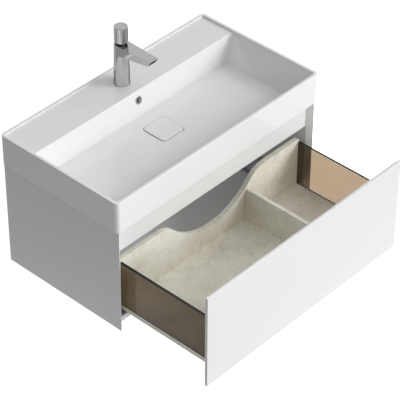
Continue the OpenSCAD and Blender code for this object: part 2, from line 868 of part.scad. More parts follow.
// Threaded shank through the deck, with the two hose inlets in its lower end
module tap_shank() {
    color("gold") difference() {
        union() {
            translate([0, y_tap, shank_bottom]) cylinder(r = shank_r, h = z_tap_foot - shank_bottom);
            translate([0, y_tap, z_tap_foot])
                cylinder(r = bore_r - tight_play, h = z_cartridge - z_tap_foot);
        }
        for (side = [-1, 1]) {
            translate([side * inlet_span / 2, y_tap, shank_bottom - eps])
                cylinder(r = inlet_r, h = inlet_depth + eps);
            translate([side * inlet_span / 4, y_tap, shank_bottom + inlet_depth - eps])
                cylinder(r = waterway_r / 2, h = z_cartridge - shank_bottom);
        }
    }
}

module shank_seal() {
    color("dimgray")
        ring([0, y_tap, z_deck_under - shank_seal_t], shank_washer_r, shank_r + shank_play, shank_seal_t);
}

module shank_washer() {
    z0 = z_deck_under - shank_seal_t - shank_washer_t;
    color("silver") ring([0, y_tap, z0], shank_washer_r, shank_r + shank_play, shank_washer_t);
}

module shank_nut() {
    z0 = z_deck_under - shank_seal_t - shank_washer_t - shank_nut_h;
    color("gold") difference() {
        translate([0, y_tap, z0]) cylinder(r = shank_nut_r, h = shank_nut_h, $fn = 6);
        translate([0, y_tap, z0 - eps]) cylinder(r = shank_r + tight_play, h = shank_nut_h + 2 * eps);
    }
}

// ---------------------------------------------------------------- case

// Round holes or dowels across the right side panel's inner face
module case_dowel_row(play) {
    for (spot = case_dowel_spots)
        translate([inner_hw - dowel_in_board - play, spot[0], spot[1]]) rotate([0, 90, 0])
            cylinder(r = dowel_r + play, h = dowel_in_board + dowel_in_side + 2 * play);
}

// Shanks of the screws in the right runner's leg
module runner_screw_shanks(r, depth) {
    for (y = runner_screw_ys)
        translate([inner_hw - steel_t - eps, y, z_runner_screw]) rotate([0, 90, 0])
            cylinder(r = r, h = depth + steel_t + eps);
}

module side_panel(side) {
    color("whitesmoke") on_side(side) difference() {
        translate([0, 0, z_case_bottom]) linear_extrude(case_h)
            polygon([[inner_hw, 0], [inner_hw, -case_d + mitre], [case_hw - tip_flat, -case_d],
                [case_hw, -case_d], [case_hw, 0]]);
        case_dowel_row(tight_play);
        runner_screw_shanks(screw_r + tight_play, screw_l + tight_play);
    }
}

// Board between the side panels
module cross_board(y0, y1, z0, z1) {
    difference() {
        block([-inner_hw, y0, z0], [inner_hw, y1, z1]);
        for (side = [-1, 1])
            on_side(side) case_dowel_row(tight_play);
    }
}

module front_rail() {
    color("whitesmoke") cross_board(y_rail, y_rail + board_t, z_skirt - rail_h, z_skirt);
}

// Rear rail with a notch for each hook
module rear_rail() {
    color("whitesmoke") difference() {
        cross_board(-rail_wall_gap - board_t, -rail_wall_gap, z_skirt - rear_rail_h, z_skirt);
        for (side = [-1, 1])
            on_side(side) block([screw_x - hook_w / 2 - 4, y_hanger - eps, z_lip - hook_t - 4],
                [screw_x + hook_w / 2 + 4, -rail_wall_gap + eps, z_lip + 2 * hook_t]);
    }
}

module lower_rail() {
    color("whitesmoke") cross_board(-rail_wall_gap - board_t, -rail_wall_gap, z_bay, z_bay + lower_rail_h);
}

module bottom_panel() {
    color("whitesmoke") cross_board(y_rail, -rail_wall_gap, z_panel, z_bay);
}

module case_dowels() {
    color("burlywood") for (side = [-1, 1])
        on_side(side) case_dowel_row(0);
}

// ---------------------------------------------------------------- hangers

module hanger_housings() {
    color("lightgray") for (side = [-1, 1])
        on_side(side) difference() {
            block([inner_hw - hanger_w, y_hanger - hanger_d, z_hanger - hanger_h],
                [inner_hw, y_hanger, z_hanger]);
            block([screw_x - hook_w / 2 - loose_play, y_hanger - hanger_d + hanger_wall,
                    z_lip - loose_play],
                [screw_x + hook_w / 2 + loose_play, y_hanger + eps, z_lip + hook_t + loose_play]);
            translate([screw_x, y_hanger - hanger_d - eps, z_hanger - hanger_h / 2]) rotate([-90, 0, 0])
                cylinder(r = hanger_recess_r, h = hanger_recess_in + eps);
        }
}

// Bent hook that rests on the wall plate's lip
module hanger_hooks() {
    reach = hanger_d - hanger_wall - loose_play;
    tip_y = hook_free - plate_t - lip_gap;
    color("silver") for (side = [-1, 1])
        on_side(side) {
            block([screw_x - hook_w / 2, y_hanger - reach, z_lip],
                [screw_x + hook_w / 2, tip_y, z_lip + hook_t]);
            block([screw_x - hook_w / 2, tip_y, z_lip - hook_nose],
                [screw_x + hook_w / 2, tip_y + hook_t, z_lip + hook_t]);
        }
}

// Plate with a stood-off lip for the hook and one screw hole
module wall_plates() {
    y_lip = -plate_t - lip_gap;
    color("silver") for (side = [-1, 1])
        on_side(side) difference() {
            along_x(screw_x - plate_w / 2, plate_w)
                polygon([[0, z_lip - plate_h], [0, z_lip - lip_h], [y_lip, z_lip - lip_h],
                    [y_lip, z_lip], [y_lip - plate_t, z_lip],
                    [y_lip - plate_t, z_lip - lip_h - plate_t],
                    [-plate_t, z_lip - lip_h - plate_t], [-plate_t, z_lip - plate_h]]);
            translate([screw_x, eps, 0]) rotate([90, 0, 0])
                cylinder(r = wall_screw_r, h = plate_t + 2 * eps);
        }
}

// ---------------------------------------------------------------- runners

// Channel on the case: a floor, an inner lip and a leg screwed to the side panel
module runner(side) {
    z0 = z_runner;
    color("silver") on_side(side) difference() {
        along_y(y_runner_front, runner_l)
            polygon([[x_lip, z0], [inner_hw, z0], [inner_hw, z0 + leg_h],
                [inner_hw - steel_t, z0 + leg_h], [inner_hw - steel_t, z0 + steel_t],
                [x_lip + steel_t, z0 + steel_t], [x_lip + steel_t, z0 + lip_up], [x_lip, z0 + lip_up]]);
        runner_screw_shanks(screw_r + tight_play, eps);
    }
}

// Hollow beam between the two channels
module middle(side) {
    t = middle_wall;
    color("lightgray") on_side(side) difference() {
        block([middle_in, y_middle_front, middle_z],
            [middle_out, y_middle_front + middle_l, middle_z + middle_h]);
        block([middle_in + t, y_middle_front - eps, middle_z + t],
            [middle_out - t, y_middle_front + middle_l + eps, middle_z + middle_h - t]);
    }
}

// Inverted channel under the drawer's base
module slider(side) {
    color("silver") on_side(side) along_y(y_slider_front, slider_l)
        polygon([[slider_in, slider_foot_z], [slider_in + steel_t, slider_foot_z],
            [slider_in + steel_t, z_base - steel_t], [slider_out - steel_t, z_base - steel_t],
            [slider_out - steel_t, slider_foot_z], [slider_out, slider_foot_z], [slider_out, z_base],
            [slider_in, z_base]]);
}

// Damper on the rear end of each runner's leg
module soft_close_units() {
    y1 = y_runner_front + runner_l - damper_end_gap;
    y0 = y1 - damper_l;
    z0 = z_runner + steel_t + damper_lift;
    x1 = inner_hw - steel_t;
    x0 = x1 - damper_w;
    color("dimgray") for (side = [-1, 1])
        on_side(side) {
            block([x0, y0, z0], [x1, y1, z0 + damper_h]);
            translate([(x0 + x1) / 2, y0 - damper_rod_l, z0 + damper_h / 2]) rotate([-90, 0, 0])
                cylinder(r = damper_rod_r, h = damper_rod_l + eps);
        }
}

module runner_screws() {
    color("silver") for (side = [-1, 1])
        on_side(side) {
            for (y = runner_screw_ys)
                translate([inner_hw - steel_t - screw_head_h, y, z_runner_screw])
                    rotate([0, 90, 0]) {
                        cylinder(r1 = screw_head_r - 1, r2 = screw_head_r, h = screw_head_h);
                        cylinder(r = screw_r, h = screw_head_h + steel_t + screw_l);
                    }
        }
}

// ---------------------------------------------------------------- drawer

// Front panel with a bevel round its rear face and a groove for each glass
module drawer_front() {
    h = z_front_top - z_front_bottom;
    y_edge = y_front + front_edge;
    color("whitesmoke") difference() {
        intersection() {
            translate([0, 0, z_front_bottom]) linear_extrude(h)
                polygon([[-front_hw, y_front], [front_hw, y_front], [front_hw, y_edge],
                    [front_hw - bevel, y_front_back], [bevel - front_hw, y_front_back],
                    [-front_hw, y_edge]]);
            along_x(-front_hw, 2 * front_hw)
                polygon([[y_front, z_front_bottom], [y_front, z_front_top], [y_edge, z_front_top],
                    [y_front_back, z_front_top - bevel], [y_front_back, z_front_bottom + bevel],
                    [y_edge, z_front_bottom]]);
        }
        for (side = [-1, 1])
            on_side(side) block(
                [base_hw - glass_t - loose_play, y_front_back - groove_depth - loose_play, z_base_top],
                [base_hw + loose_play, y_front_back + eps, z_glass_top + loose_play]);
        bracket_screw_shanks(screw_r + tight_play, 0);
    }
}

module drawer_base() {
    color("tan") difference() {
        block([-base_hw, y_front_back, z_base], [base_hw, y_drawer_end, z_base_top]);
        for (spot = concat(drawer_dowel_spots, divider_dowel_spots))
            drawer_dowel(spot, tight_play);
        bracket_screw_shanks(screw_r + tight_play, 0);
    }
}

// One upright dowel across the base's top
module drawer_dowel(spot, play) {
    translate([spot[0], spot[1], z_base_top - drawer_dowel_down - play])
        cylinder(r = drawer_dowel_r + play, h = drawer_dowel_down + drawer_dowel_up + 2 * play);
}

// Half of the dip's outline: the round dip and the space over its shoulder
module wave_half() {
    reach = wave_r + shoulder_r;
    x_shoulder = sqrt(reach * reach - pow(wave_rise + shoulder_r, 2));
    z_shoulder = z_back_top - shoulder_r;
    difference() {
        polygon([[0, z_wave], [x_shoulder, z_wave], [x_shoulder, z_shoulder]]);
        translate([x_shoulder, z_shoulder]) circle(shoulder_r);
    }
}

// Back panel with the round dip that clears the trap
module drawer_back() {
    h = z_back_top - z_base_top;
    r = back_corner_r;
    color("tan") difference() {
        along_y(y_back_inner, drawer_t) difference() {
            union() {
                translate([-base_hw, z_base_top]) square([2 * base_hw, h - r]);
                translate([-base_hw + r, z_base_top]) square([2 * (base_hw - r), h]);
                for (side = [-1, 1])
                    translate([side * (base_hw - r), z_back_top - r]) circle(r);
            }
            translate([0, z_wave]) circle(wave_r + arc_lap, $fn = 180);
            wave_half();
            mirror([1, 0]) wave_half();
        }
        for (spot = drawer_dowel_spots)
            drawer_dowel(spot, tight_play);
    }
}

module drawer_divider() {
    color("tan") difference() {
        block([divider_x - divider_t / 2, y_front_back, z_base_top],
            [divider_x + divider_t / 2, y_back_inner, z_base_top + divider_h]);
        for (spot = divider_dowel_spots)
            drawer_dowel(spot, tight_play);
    }
}

module glass(side) {
    color("sienna", 0.5) on_side(side)
        block([base_hw - glass_t, y_front_back - groove_depth, z_glass],
            [base_hw, y_back_inner, z_glass_top]);
}

module glass_seals() {
    color("black") for (side = [-1, 1])
        on_side(side) block([base_hw - glass_t, y_front_back, z_base_top],
            [base_hw, y_back_inner, z_glass]);
}

// Black strip on the glass's upper edge, with a lip down its outer face
module glass_strips() {
    x0 = base_hw - glass_t;
    color("black") for (side = [-1, 1])
        on_side(side) along_y(y_front_back, y_back_inner - y_front_back)
            polygon([[x0, z_glass_top], [base_hw, z_glass_top], [base_hw, z_glass_top - strip_cover],
                [base_hw + strip_t, z_glass_top - strip_cover],
                [base_hw + strip_t, z_glass_top + strip_t], [x0, z_glass_top + strip_t]]);
}

// Clip that locks the drawer onto each slider
module runner_clips() {
    x_side = x_lip - clip_gap;
    y_end = y_slider_front + clip_l;
    color("darkorange") for (side = [-1, 1])
        on_side(side) {
            block([x_side - clip_w, y_slider_front, z_base - clip_h], [x_side, y_end, z_base]);
            block([x_side, y_slider_front + clip_tongue, z_base - clip_tongue],
                [slider_in, y_end - clip_tongue, z_base]);
        }
}

// Shanks of the screws that hold the front brackets
module bracket_screw_shanks(r, head) {
    for (side = [-1, 1]) {
        translate([side * bracket_x, y_front_back + bracket_screw_in, z_base - steel_t - eps])
            cylinder(r = r, h = screw_l + steel_t + eps);
        translate([side * bracket_x, y_front_back + steel_t + eps, z_base - bracket_screw_in])
            rotate([90, 0, 0]) cylinder(r = r, h = screw_l + steel_t + eps);
    }
}

// Angle brackets between the base's underside and the front
module front_brackets() {
    color("silver") difference() {
        for (side = [-1, 1])
            along_x(side * bracket_x - bracket_w / 2, bracket_w)
                polygon([[y_front_back, z_base], [y_front_back + bracket_leg, z_base],
                    [y_front_back + bracket_leg, z_base - steel_t],
                    [y_front_back + steel_t, z_base - steel_t],
                    [y_front_back + steel_t, z_base - bracket_leg],
                    [y_front_back, z_base - bracket_leg]]);
        bracket_screw_shanks(screw_r + tight_play, 0);
    }
}

module drawer_dowels() {
    color("burlywood") for (spot = concat(drawer_dowel_spots, divider_dowel_spots))
        drawer_dowel(spot, 0);
}

module drawer_screws() {
    color("silver") for (side = [-1, 1]) {
        translate([side * bracket_x, y_front_back + bracket_screw_in, z_base - steel_t - screw_head_h]) {
            cylinder(r1 = screw_head_r - 1, r2 = screw_head_r, h = screw_head_h);
            cylinder(r = screw_r, h = screw_head_h + steel_t + screw_l);
        }
        translate([side * bracket_x, y_front_back + steel_t + screw_head_h, z_base - bracket_screw_in])
            rotate([90, 0, 0]) {
                cylinder(r1 = screw_head_r - 1, r2 = screw_head_r, h = screw_head_h);
                cylinder(r = screw_r, h = screw_head_h + steel_t + screw_l);
            }
    }
}

washbasin();
overflow_ring();
drain_cover();
plug_stem();
plug_seal();
waste_flange();
waste_washer();
waste_nut();
trap_union_nut();
dip_tube();
trap_inlet_nut();
trap_body();
trap_bottle();
outlet_nut();
outlet_pipe();
wall_rosette();
tap_body();
tap_base_seal();
cartridge();
neck_ring();
knob_spindle();
tap_knob();
hot_dot();
cold_dot();
aerator();
tap_shank();
shank_seal();
shank_washer();
shank_nut();
side_panel(-1);  // side_panel_left
side_panel(1);  // side_panel_right
front_rail();
rear_rail();
lower_rail();
bottom_panel();
case_dowels();
hanger_housings();
hanger_hooks();
wall_plates();
runner(-1);  // runner_left
runner(1);  // runner_right
middle(-1);  // middle_left
middle(1);  // middle_right
slider(-1);  // slider_left
slider(1);  // slider_right
soft_close_units();
runner_screws();
drawer_front();
drawer_base();
drawer_back();
drawer_divider();
glass(-1);  // glass_left
glass(1);  // glass_right
glass_seals();
glass_strips();
runner_clips();
front_brackets();
drawer_dowels();
drawer_screws();
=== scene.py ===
"""Floating washbasin vanity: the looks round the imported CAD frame.

Metres, +X right, -Y front, +Z up; the origin lies on the wall between the two wall screws.
"""

import json
import math

import bmesh
import bpy
from mathutils import Matrix, Vector

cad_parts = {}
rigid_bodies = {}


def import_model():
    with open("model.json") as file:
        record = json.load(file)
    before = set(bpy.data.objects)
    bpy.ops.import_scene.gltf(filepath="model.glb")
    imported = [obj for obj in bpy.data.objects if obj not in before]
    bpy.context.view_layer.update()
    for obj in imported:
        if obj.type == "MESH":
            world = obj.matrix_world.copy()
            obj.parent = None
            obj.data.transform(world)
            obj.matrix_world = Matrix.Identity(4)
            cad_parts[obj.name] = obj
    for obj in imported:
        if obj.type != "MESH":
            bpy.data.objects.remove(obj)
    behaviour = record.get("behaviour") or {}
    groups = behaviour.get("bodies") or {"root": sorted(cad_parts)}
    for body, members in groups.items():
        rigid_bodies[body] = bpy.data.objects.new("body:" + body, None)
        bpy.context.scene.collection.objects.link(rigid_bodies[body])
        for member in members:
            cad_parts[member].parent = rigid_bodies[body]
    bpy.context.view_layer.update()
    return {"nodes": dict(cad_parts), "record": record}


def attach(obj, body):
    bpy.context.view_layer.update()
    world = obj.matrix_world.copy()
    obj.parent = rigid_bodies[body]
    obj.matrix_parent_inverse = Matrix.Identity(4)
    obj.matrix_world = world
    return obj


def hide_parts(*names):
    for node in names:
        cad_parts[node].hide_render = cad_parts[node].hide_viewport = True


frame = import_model()

NEAR = 0.0004  # room within which two measures count as the same
CERAMIC_FLAT = 0.05  # degrees below which a line inside a ceramic face is dissolved
SMOOTH_ANGLE = 32
WHITE = (1, 1, 1, 1)

# Basin: the slab
RIM = 0.150
BASIN_LOW = (-0.405, -0.445, 0.050)
BASIN_HIGH = (0.405, 0.0, RIM)
SLAB_CORNER = 0.012
OUTER_ROUND = 0.0014  # rounding of the slab's outer edges
RIM_WIDTH = 0.009
RIM_ROUND = 0.0016  # rounding of the rim's inner edge
LIFT = 0.020  # how far a cutter stands above the rim

# Basin: the tap deck
DECK = 0.144
DECK_FRONT = -0.125
DECK_UNDER = 0.130
DECK_OVERLAP = 0.012  # how far the deck's cutter reaches into the bowl's
BRINK_ROUND = 0.0014  # rounding of the edge between the deck and the bowl
BRINK_REACH = 0.0095  # depth of that edge, with its turns into the side walls

# Basin: the bowl, whose walls lean in by a run from the deck's level down to the foot
FOOT = 0.066
SIDE_RUN = 0.048
BACK_RUN = 0.013
FRONT_RUN = 0.025
BOWL_CORNER = 0.009
FOOT_ROUND = 0.004
FLOOR_MIDDLE = -0.2745
DRAIN_Y = -0.2265
DRAIN_FALL = 0.0036  # how much lower the floor lies at the drain than at the foot

# Basin: drain, tap hole, overflow and wall bolts
POCKET_HALF = 0.0445
POCKET_FOOT = 0.046
POCKET_TOP = 0.160
POCKET_CORNER = 0.014
POCKET_ROUND = 0.0012
POCKET_EDGE_LOW = 0.0615  # just below the lowest point of the pocket's edge
COVER_HALF = 0.0425
COVER_FOOT = 0.060
COVER_TOP = 0.065
COVER_CORNER = 0.012
BOSS_HALF = 0.0545
BOSS_FOOT = 0.032
BOSS_TOP = 0.0506
BOSS_CORNER = 0.018
WASTE_RADIUS = 0.023
WASTE_CLEAR = 0.028  # outside the waste hole's edge
TAP_Y = -0.066
TAP_HOLE_RADIUS = 0.0175
OVERFLOW_Z = 0.114
OVERFLOW_RADIUS = 0.0105
BOLT_X = 0.14
BOLT_Z = 0.09
BOLT_RADIUS = 0.007

# Blocks of the basin, as lowest and highest corner
HOLLOW = ((-0.395, -0.113, 0.040), (0.395, -0.010, DECK_UNDER))
CHANNEL_RIB = ((-0.024, DRAIN_Y, BOSS_FOOT), (0.024, -0.103, DECK_UNDER + 0.0002))
CHANNEL_DOWN = ((-0.014, DRAIN_Y + 0.018, 0.0365), (0.014, -0.116, 0.0415))
CHANNEL_UP = ((-0.014, -0.122, 0.0370), (0.014, -0.116, OVERFLOW_Z))

# Tap
TAP_FOOT = 0.145
COLUMN_FOOT_RADIUS = 0.023
COLUMN_TOP_RADIUS = 0.0205
CARTRIDGE_RADIUS = 0.01405
CARTRIDGE_SEAT_Z = 0.250
BORE_RADIUS = 0.011
SPOUT_TOP = 0.278
SPOUT_REACH = 0.126
SPOUT_HEEL = 0.0167  # how far the spout's underside drops towards the column
TIP_HALF = 0.016
TIP_SLANT = 0.009
TIP_EDGE = 0.0015
TIP_HEIGHT = 0.0165
AERATOR_RADIUS = 0.0065

# Eased edges
BOARD_EASE = 0.0006
FRONT_EASE = 0.0008
STONE_EASE = 0.0014
STONE_BACK_EASE = 0.0012
COVER_EASE = 0.0014
KNOB_EASE = 0.0004
TAP_EASE = 0.0006

# Set
FLOOR = -0.70
FLOOR_SIZE = 60
# glow levels and patches of the floor's painted light
FLOOR_BRIGHT = 0.97
FLOOR_DIM = 0.26
POOL_CENTRE = (0.63, 0.21, 0.0)
POOL_HALF = (1.08, 0.78)
POOL_TURN = 42.65
SHINE_CENTRE = (0.93, -0.04, 0.0)
SHINE_HALF = (0.24, 0.30)
LIGHTS_AIM = (0, -0.35, 0)
SKY_BRIGHT_SIDE = (0.62, 0.36, 0.70)
CAMERA_PLACE = (-3.30079, -3.39953, 3.51198)
CAMERA_TURN = -47.409
CAMERA_RISE = 38.974
CAMERA_ROLL = 0.298
CAMERA_LENS = 184.9
CAMERA_SENSOR = 36
CAMERA_FAR = 200


# ---------------------------------------------------------------- modelling helpers

def deselect():
    bpy.ops.object.select_all(action="DESELECT")


def make_active(piece):
    deselect()
    piece.select_set(True)
    bpy.context.view_layer.objects.active = piece


def apply_place():
    bpy.ops.object.transform_apply(location=True, rotation=True, scale=True)


def name_primitive(name):
    """Applies the place of the primitive that was just added, and names it."""
    apply_place()
    bpy.context.object.name = name
    return bpy.context.object


def add_block(name, low, high):
    """A block between two corners."""
    deselect()
    middle = [(a + b) / 2 for a, b in zip(low, high)]
    size = [b - a for a, b in zip(low, high)]
    bpy.ops.mesh.primitive_cube_add(size=1, location=middle, scale=size)
    return name_primitive(name)


def add_round(name, radius, foot, height, sides=64, turn=0.0):
    """A cylinder that stands on its foot point, turned about X at that point."""
    deselect()
    middle = Vector(foot) + Matrix.Rotation(turn, 3, "X") @ Vector((0, 0, height / 2))
    bpy.ops.mesh.primitive_cylinder_add(vertices=sides, radius=radius, depth=height,
                                        location=middle, rotation=(turn, 0, 0))
    return name_primitive(name)


def tilt_into_place(piece, tilt, place):
    """Tilts a piece about X at the origin, then moves it to its place."""
    make_active(piece)
    piece.rotation_euler = (tilt, 0, 0)
    piece.location = place
    apply_place()
    return piece


def edit(piece, kind):
    """Enters edit mode with nothing selected."""
    make_active(piece)
    bpy.ops.object.mode_set(mode="EDIT")
    bpy.ops.mesh.select_mode(type=kind)
    bpy.ops.mesh.select_all(action="DESELECT")
    return bmesh.from_edit_mesh(piece.data)


def leave():
    bpy.ops.object.mode_set(mode="OBJECT")


def pick_edges(mesh, wanted):
    """Selects each edge that wanted(one end, other end) accepts."""
    bpy.ops.mesh.select_all(action="DESELECT")
    for edge in mesh.edges:
        if wanted(edge.verts[0].co, edge.verts[1].co):
            edge.select_set(True)
    mesh.select_flush_mode()


def pick_faces(mesh, wanted):
    """Selects each face that wanted(middle, normal) accepts."""
    bpy.ops.mesh.select_all(action="DESELECT")
    for face in mesh.faces:
        if wanted(face.calc_center_median(), face.normal):
            face.select_set(True)
    mesh.select_flush_mode()


def near(value, goal):
    return abs(value - goal) < NEAR


def upright(a, b):
    """Accepts the edges that run mostly along Z."""
    return abs(a.z - b.z) > 0.8 * (a - b).length


def at_height(z):
    """Accepts the edges that lie at this height."""
    return lambda a, b: near(a.z, z) and near(b.z, z)


def along_x(y, z):
    """Accepts the edge along X at this depth and height."""
    return lambda a, b: all(near(p.y, y) and near(p.z, z) for p in (a, b))


def fix_order(piece):
    """Writes a mesh again in one fixed order, because rounding leaves its faces in any order."""
    mesh = piece.data
    points = sorted(tuple(v.co) for v in mesh.vertices)
    number = {point: index for index, point in enumerate(points)}
    faces = []
    for face in mesh.polygons:
        ring = [number[tuple(mesh.vertices[v].co)] for v in face.vertices]
        first = ring.index(min(ring))
        faces.append(ring[first:] + ring[:first])
    mesh.clear_geometry()
    mesh.from_pydata(points, [], sorted(faces))


def round_edges(piece, wanted, radius, segments):
    """Rounds the edges that wanted(one end, other end) accepts."""
    pick_edges(edit(piece, "EDGE"), wanted)
    bpy.ops.mesh.bevel(offset=radius, offset_type="OFFSET", segments=segments,
                       affect="EDGES", clamp_overlap=False)
    leave()
    fix_order(piece)


def move_edges(piece, wanted, shift):
    """Moves the edges that wanted(one end, other end) accepts."""
    pick_edges(edit(piece, "EDGE"), wanted)
    bpy.ops.transform.translate(value=shift)
    leave()


def raise_picked(height):
    """Extrudes the selected faces upwards."""
    bpy.ops.mesh.extrude_region_move(TRANSFORM_OT_translate={"value": (0, 0, height)})


def combine(piece, other, operation):
    """Applies another solid to a piece, and removes it."""
    make_active(piece)
    change = piece.modifiers.new("combine", "BOOLEAN")
    change.operation = operation
    change.solver = "EXACT"
    change.object = other
    bpy.ops.object.modifier_apply(modifier=change.name)
    bpy.data.objects.remove(other)


def cut(piece, cutter):
    combine(piece, cutter, "DIFFERENCE")


def weld(piece, other):
    combine(piece, other, "UNION")


def tidy_mesh(piece, flat=0.3):
    """Merges doubled points and dissolves the lines inside faces that are flat to an angle."""
    edit(piece, "VERT")
    bpy.ops.mesh.select_all(action="SELECT")
    bpy.ops.mesh.remove_doubles(threshold=0.00001)
    bpy.ops.mesh.dissolve_limited(angle_limit=math.radians(flat))
    bpy.ops.mesh.select_all(action="SELECT")
    bpy.ops.mesh.normals_make_consistent(inside=False)
    leave()


def smooth(piece):
    """Shades smoothly across blunt edges, led by the large faces."""
    make_active(piece)
    bpy.ops.object.shade_smooth_by_angle(angle=math.radians(SMOOTH_ANGLE))
    weigh = piece.modifiers.new("weigh", "WEIGHTED_NORMAL")
    weigh.keep_sharp = True
    weigh.weight = 90
    bpy.ops.object.modifier_apply(modifier=weigh.name)


def ease(piece, width, segments=2, angle=30):
    """Rounds every edge of a piece that is sharper than an angle."""
    tidy_mesh(piece)
    make_active(piece)
    change = piece.modifiers.new("ease", "BEVEL")
    change.width = width
    change.segments = segments
    change.limit_method = "ANGLE"
    change.angle_limit = math.radians(angle)
    change.use_clamp_overlap = False
    bpy.ops.object.modifier_apply(modifier=change.name)
    smooth(piece)


def eased_copy(node, name, width):
    """A merged copy of a CAD node with rounded edges."""
    piece = bpy.data.objects.new(name, frame["nodes"][node].data.copy())
    bpy.context.scene.collection.objects.link(piece)
    ease(piece, width)
    return piece


def settle(piece, node, slot):
    """A finished piece takes its CAD node's place, body and finish."""
    piece.data.materials.clear()
    piece.data.materials.append(looks[slot])
    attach(piece, body_of_node[node])
    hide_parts(node)


# ---------------------------------------------------------------- material helpers

def surface(name):
    """A new material, its tree, its shader and the object's own coordinates."""
    look = bpy.data.materials.new(name)
    look.use_nodes = True
    tree = look.node_tree
    place = tree.nodes.new("ShaderNodeTexCoord").outputs["Object"]
    return look, tree, tree.nodes["Principled BSDF"], place


def dress(tree, shader, colour, roughness, normal=None):
    """Leads a colour, a roughness and a bump to the shader."""
    for name, value in (("Base Color", colour), ("Roughness", roughness), ("Normal", normal)):
        if value is not None:
            tree.links.new(value, shader.inputs[name])


def stretched(tree, place, scale):
    """The same coordinates, stretched along the axes."""
    node = tree.nodes.new("ShaderNodeMapping")
    node.inputs["Scale"].default_value = scale
    tree.links.new(place, node.inputs["Vector"])
    return node.outputs["Vector"]


def cloud(tree, place, scale, detail, roughness=0.5, distortion=0.0):
    """Noise between 0 and 1."""
    node = tree.nodes.new("ShaderNodeTexNoise")
    node.inputs["Scale"].default_value = scale
    node.inputs["Detail"].default_value = detail
    node.inputs["Roughness"].default_value = roughness
    node.inputs["Distortion"].default_value = distortion
    tree.links.new(place, node.inputs["Vector"])
    return node.outputs["Fac"]


def cells(tree, place, scale):
    """Distance inside small random cells."""
    node = tree.nodes.new("ShaderNodeTexVoronoi")
    node.inputs["Scale"].default_value = scale
    tree.links.new(place, node.inputs["Vector"])
    return node.outputs["Distance"]


def between(tree, value, low, high, start=0.3, stop=0.7):
    """A value brought from the range start to stop into the range low to high."""
    node = tree.nodes.new("ShaderNodeMapRange")
    node.inputs["From Min"].default_value = start
    node.inputs["From Max"].default_value = stop
    node.inputs["To Min"].default_value = low
    node.inputs["To Max"].default_value = high
    tree.links.new(value, node.inputs["Value"])
    return node.outputs["Result"]


def shade_ramp(tree, value, stops):
    """Colours along a value."""
    node = tree.nodes.new("ShaderNodeValToRGB")
    ramp = node.color_ramp
    while len(ramp.elements) < len(stops):
        ramp.elements.new(0.5)
    for element, (where, colour) in zip(ramp.elements, stops):
        element.position = where
        element.color = (*colour, 1)
    tree.links.new(value, node.inputs["Fac"])
    return node.outputs["Color"]


def blend_colour(tree, share, a, b):
    """Two colours mixed by a share; each is a socket or a plain colour."""
    node = tree.nodes.new("ShaderNodeMix")
    node.data_type = "RGBA"

    def socket_of(sockets, name, kind):
        return [s for s in sockets if s.name == name and s.type == kind][0]

    for name, value in (("A", a), ("B", b)):
        socket = socket_of(node.inputs, name, "RGBA")
        if isinstance(value, tuple):
            socket.default_value = (*value, 1)
        else:
            tree.links.new(value, socket)
    tree.links.new(share, socket_of(node.inputs, "Factor", "VALUE"))
    return socket_of(node.outputs, "Result", "RGBA")


def tinge(tree, mask, strength, under, over):
    """A colour laid over another where a mask is 1, up to a strength."""
    return blend_colour(tree, between(tree, mask, 0.0, strength, start=0.0, stop=1.0), under, over)


def relief(tree, height, strength, distance, before=None):
    """A bump from a height, on top of an earlier bump."""
    node = tree.nodes.new("ShaderNodeBump")
    node.inputs["Strength"].default_value = strength
    node.inputs["Distance"].default_value = distance
    tree.links.new(height, node.inputs["Height"])
    if before is not None:
        tree.links.new(before, node.inputs["Normal"])
    return node.outputs["Normal"]


def wear_and_highlight_edges(tree):
    """Where a surface is sharply convex: wear on the plastics, a painted highlight on the lacquer.
    """
    node = tree.nodes.new("ShaderNodeNewGeometry")
    return between(tree, node.outputs["Pointiness"], 0.0, 1.0, start=0.52, stop=0.62)


def worked_out(tree, operation, *values):
    """The result of a sum on sockets and plain numbers."""
    node = tree.nodes.new("ShaderNodeMath")
    node.operation = operation
    for socket, value in zip(node.inputs, values):
        if isinstance(value, float):
            socket.default_value = value
        else:
            tree.links.new(value, socket)
    return node.outputs["Value"]


# ---------------------------------------------------------------- materials

def glazed_ceramic():
    """White glaze with a slow drift of tone, a few pores and shallow waves."""
    look, tree, shader, place = surface("glazed_ceramic")
    drift = cloud(tree, place, scale=4.0, detail=2.0)
    glaze = blend_colour(tree, drift, (0.82, 0.825, 0.825), (0.845, 0.845, 0.84))
    specks = cloud(tree, place, scale=420.0, detail=2.0)
    pores = between(tree, specks, 0.0, 1.0, start=0.66, stop=0.74)
    polish = between(tree, cloud(tree, place, scale=35.0, detail=4.0), 0.035, 0.075)
    swell = cloud(tree, place, scale=22.0, detail=2.0)
    waves = relief(tree, swell, strength=0.2, distance=0.0002)
    dress(tree, shader, tinge(tree, pores, 0.10, glaze, (0.62, 0.61, 0.59)), polish,
          relief(tree, pores, strength=0.1, distance=0.00008, before=waves))
    return look


def white_lacquer():
    """Satin lacquer with fine orange peel, and a painted highlight along its sharp edges."""
    look, tree, shader, place = surface("white_lacquer")
    drift = cloud(tree, place, scale=3.0, detail=3.0)
    lacquer = blend_colour(tree, drift, (0.745, 0.745, 0.74), (0.765, 0.765, 0.765))
    sheen = between(tree, cloud(tree, place, scale=55.0, detail=5.0), 0.34, 0.44)
    grit = cloud(tree, place, scale=900.0, detail=2.0)
    peel = relief(tree, grit, strength=0.06, distance=0.00003)
    swell = cloud(tree, place, scale=9.0, detail=2.0)
    # the paler colour along the sharp edges is a painted highlight
    dress(tree, shader, tinge(tree, wear_and_highlight_edges(tree), 0.25, lacquer, (0.86, 0.86, 0.85)), sheen,
          relief(tree, swell, strength=0.05, distance=0.0001, before=peel))
    shader.inputs["Specular IOR Level"].default_value = 0.4
    return look


